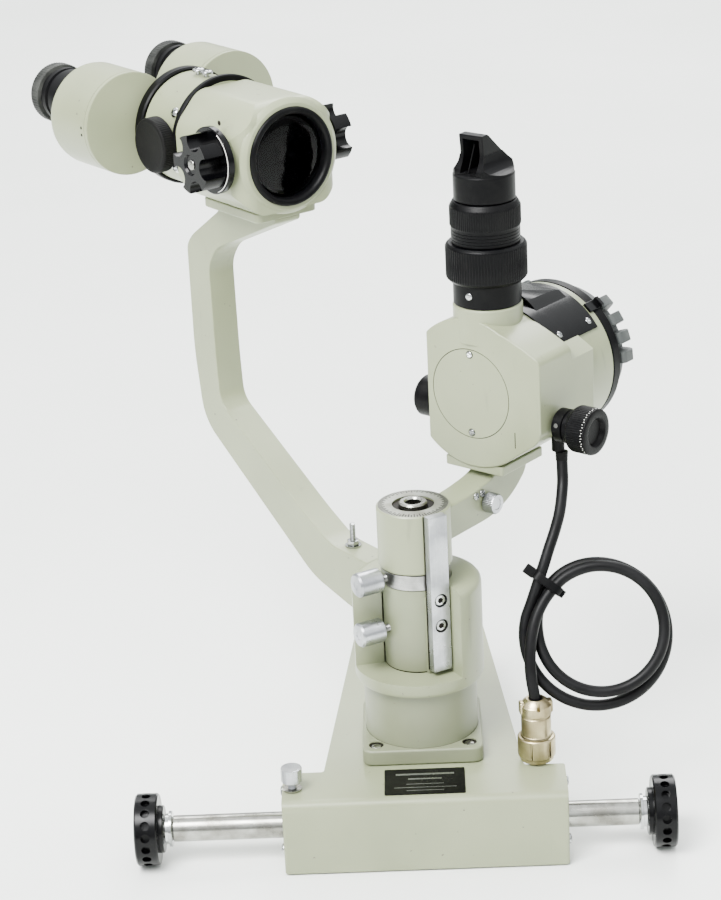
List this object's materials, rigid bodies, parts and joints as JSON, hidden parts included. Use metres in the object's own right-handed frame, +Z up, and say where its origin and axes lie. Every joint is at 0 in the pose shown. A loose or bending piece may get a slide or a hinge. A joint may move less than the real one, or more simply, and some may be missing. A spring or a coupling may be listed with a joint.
{
  "type": "slit lamp",
  "caption": "Examination slit lamp: rolling base with joystick, rising pivot post, and two swinging arms that carry a stereo microscope and a lamp unit with its mirror.",
  "frame": {"origin": "on the pivot axis of the two arms, at the level of the table that the glide plate rests on", "axes": "+Z up along the pivot axis; +X along the wheel axle, towards the lamp's side; +Y away from the patient, towards the joystick and the observer"},
  "size_m": [0.3657, 0.3401, 0.4117],
  "materials": {
    "enamel": "smooth light grey-green enamel, satin to gloss",
    "black_enamel": "satin black",
    "black_plastic": "moulded black, low gloss",
    "steel": "ground and polished",
    "aluminium": "satin anodised and turned",
    "bronze": "turned bearing bronze",
    "nickel": "warm satin nickel plate",
    "rubber": "soft matt rubber",
    "glass": "coated optical glass",
    "mirror": "front-silvered mirror",
    "sink": "grey anodised die casting"
  },
  "bodies": {
    "base": {"base_cover": "enamel", "glide_plate": "black_enamel", "column_sleeve": "enamel", "axle_bush_left": "bronze", "axle_bush_right": "bronze", "drive_belt": "rubber", "joystick_socket": "black_plastic"},
    "base_lock": {"base_lock_screw": "aluminium"},
    "axle": {"axle_tube": "steel", "axle_collar_left": "steel", "axle_collar_right": "steel"},
    "wheel_set": {"axle_rod": "steel", "wheel_left": "black_enamel", "wheel_right": "black_enamel"},
    "post": {"pivot_post": "steel"},
    "lifting_screw": {"lead_screw": "steel"},
    "stick_pulley": {"joystick_pulley": "black_plastic"},
    "stick_gimbal": {"joystick_gimbal": "steel"},
    "stick_lever": {"joystick_lever": "black_enamel"},
    "stick_grip": {"joystick_grip": "black_plastic"},
    "microscope": {"microscope_arm": "enamel", "lower_sleeve": "enamel", "clamp_band": "steel", "index_bar": "aluminium", "microscope_head": "enamel", "objective_bezel": "black_enamel", "objective_lens": "glass", "binocular_tube": "enamel", "tube_ring_rear": "black_enamel"},
    "microscope_lock": {"microscope_lock_knob": "aluminium"},
    "illumination_lock": {"illumination_lock_knob": "aluminium"},
    "magnification": {"magnification_drum": "black_enamel", "magnification_knob_left": "black_plastic", "magnification_knob_right": "black_plastic"},
    "tube_lock": {"tube_lock_knob": "black_plastic"},
    "prism_left": {"prism_housing_left": "enamel", "eyepiece_left": "black_enamel"},
    "prism_right": {"prism_housing_right": "enamel", "eyepiece_right": "black_enamel"},
    "dioptre_left": {"dioptre_ring_left": "black_enamel"},
    "dioptre_right": {"dioptre_ring_right": "black_enamel"},
    "illumination": {"lamp_arm": "enamel", "lamp_housing": "enamel", "barrel_tube": "black_enamel", "mirror_head": "black_enamel", "lamp_mirror": "mirror", "condenser_lens": "glass", "lamp_rear_ring": "black_enamel", "heat_sink": "sink", "lamp_bulb": "glass", "cord_gland": "rubber", "cord_upper": "rubber", "cord_loop": "rubber", "cord_lower": "rubber", "cord_tie": "rubber", "lead_connector": "nickel"},
    "slit_width": {"slit_knob_right": "black_plastic", "slit_knob_left": "black_plastic"},
    "aperture": {"aperture_ring": "black_enamel"},
    "filter": {"filter_ring": "black_enamel"}
  },
  "joints": [
    {"name": "base_lock_turn", "type": "hinge", "parent": "base", "child": "base_lock", "pos_m": [-0.0742, -0.058, 0.05], "axis": [0, 0, 1], "range_deg": [0, 300]},
    {"name": "axle_slide", "type": "slide", "parent": "base", "child": "axle", "axis": [1, 0, 0], "range_m": [-0.039, 0.061]},
    {"name": "wheels_roll", "type": "hinge", "parent": "axle", "child": "wheel_set", "pos_m": [0, -0.0533, 0.0205], "axis": [1, 0, 0], "continuous": true},
    {"name": "elevation", "type": "slide", "parent": "base", "child": "post", "axis": [0, 0, 1], "range_m": [0, 0.03]},
    {"name": "lifting_screw_turn", "type": "hinge", "parent": "base", "child": "lifting_screw", "pos_m": [0, 0, 0.02], "axis": [0, 0, 1], "range_deg": [0, 1080]},
    {"name": "stick_pulley_turn", "type": "hinge", "parent": "base", "child": "stick_pulley", "pos_m": [0, 0.125, 0.02], "axis": [0, 0, 1], "range_deg": [0, 1728]},
    {"name": "stick_tilt_side", "type": "hinge", "parent": "base", "child": "stick_gimbal", "pos_m": [0, 0.125, 0.048], "axis": [0, 1, 0], "range_deg": [-12, 12]},
    {"name": "stick_tilt_back", "type": "hinge", "parent": "stick_gimbal", "child": "stick_lever", "pos_m": [0, 0.125, 0.048], "axis": [1, 0, 0], "range_deg": [-12, 12]},
    {"name": "stick_turn", "type": "hinge", "parent": "stick_lever", "child": "stick_grip", "pos_m": [0, 0.125, 0.048], "axis": [0, 0, 1], "range_deg": [0, 1728]},
    {"name": "microscope_swing", "type": "hinge", "parent": "post", "child": "microscope", "pos_m": [0, 0, 0.12], "axis": [0, 0, 1], "range_deg": [-38, 25]},
    {"name": "microscope_lock_turn", "type": "hinge", "parent": "microscope", "child": "microscope_lock", "pos_m": [0, 0, 0.1205], "axis": [-0.866, -0.5, 0], "range_deg": [0, 180]},
    {"name": "illumination_lock_turn", "type": "hinge", "parent": "microscope", "child": "illumination_lock", "pos_m": [0, 0, 0.1513], "axis": [-0.866, -0.5, 0], "range_deg": [0, 180]},
    {"name": "magnification_turn", "type": "hinge", "parent": "microscope", "child": "magnification", "pos_m": [-0.0744, 0.09732, 0.3756], "axis": [0.7944, 0.6074, 0], "continuous": true},
    {"name": "tube_lock_turn", "type": "hinge", "parent": "microscope", "child": "tube_lock", "pos_m": [-0.10963, 0.14339, 0.3743], "axis": [0.7944, 0.6074, 0], "range_deg": [0, 270]},
    {"name": "pupil_distance_left", "type": "hinge", "parent": "microscope", "child": "prism_left", "pos_m": [-0.17044, 0.16299, 0.381], "axis": [-0.6074, 0.7944, 0], "range_deg": [-4, 115]},
    {"name": "pupil_distance_right", "type": "hinge", "parent": "microscope", "child": "prism_right", "pos_m": [-0.1126, 0.20721, 0.381], "axis": [-0.6074, 0.7944, 0], "range_deg": [-115, 4]},
    {"name": "dioptre_turn_left", "type": "hinge", "parent": "prism_left", "child": "dioptre_left", "pos_m": [-0.20544, 0.20169, 0.3886], "axis": [-0.6074, 0.7944, 0], "range_deg": [-120, 120]},
    {"name": "dioptre_turn_right", "type": "hinge", "parent": "prism_right", "child": "dioptre_right", "pos_m": [-0.14077, 0.25113, 0.3886], "axis": [-0.6074, 0.7944, 0], "range_deg": [-120, 120]},
    {"name": "illumination_swing", "type": "hinge", "parent": "post", "child": "illumination", "pos_m": [0, 0, 0.17], "axis": [0, 0, 1], "range_deg": [-40, 60]},
    {"name": "slit_width_turn", "type": "hinge", "parent": "illumination", "child": "slit_width", "pos_m": [0.04462, 0.0565, 0.2266], "axis": [0.7848, -0.6198, 0], "range_deg": [-40, 200]},
    {"name": "aperture_turn", "type": "hinge", "parent": "illumination", "child": "aperture", "pos_m": [0.04704, 0.05956, 0.318], "axis": [0, 0, 1], "range_deg": [-100, 170]},
    {"name": "filter_turn", "type": "hinge", "parent": "illumination", "child": "filter", "pos_m": [0.04704, 0.05956, 0.345], "axis": [0, 0, 1], "range_deg": [-90, 90]}
  ],
  "couplings": [
    {"joint": "lifting_screw_turn", "follows": "elevation", "rad_per_m": 628.32},
    {"joint": "stick_pulley_turn", "follows": "elevation", "rad_per_m": 1005.3},
    {"joint": "stick_turn", "follows": "elevation", "rad_per_m": 1005.3},
    {"joint": "pupil_distance_right", "follows": "pupil_distance_left", "ratio": -1}
  ]
}
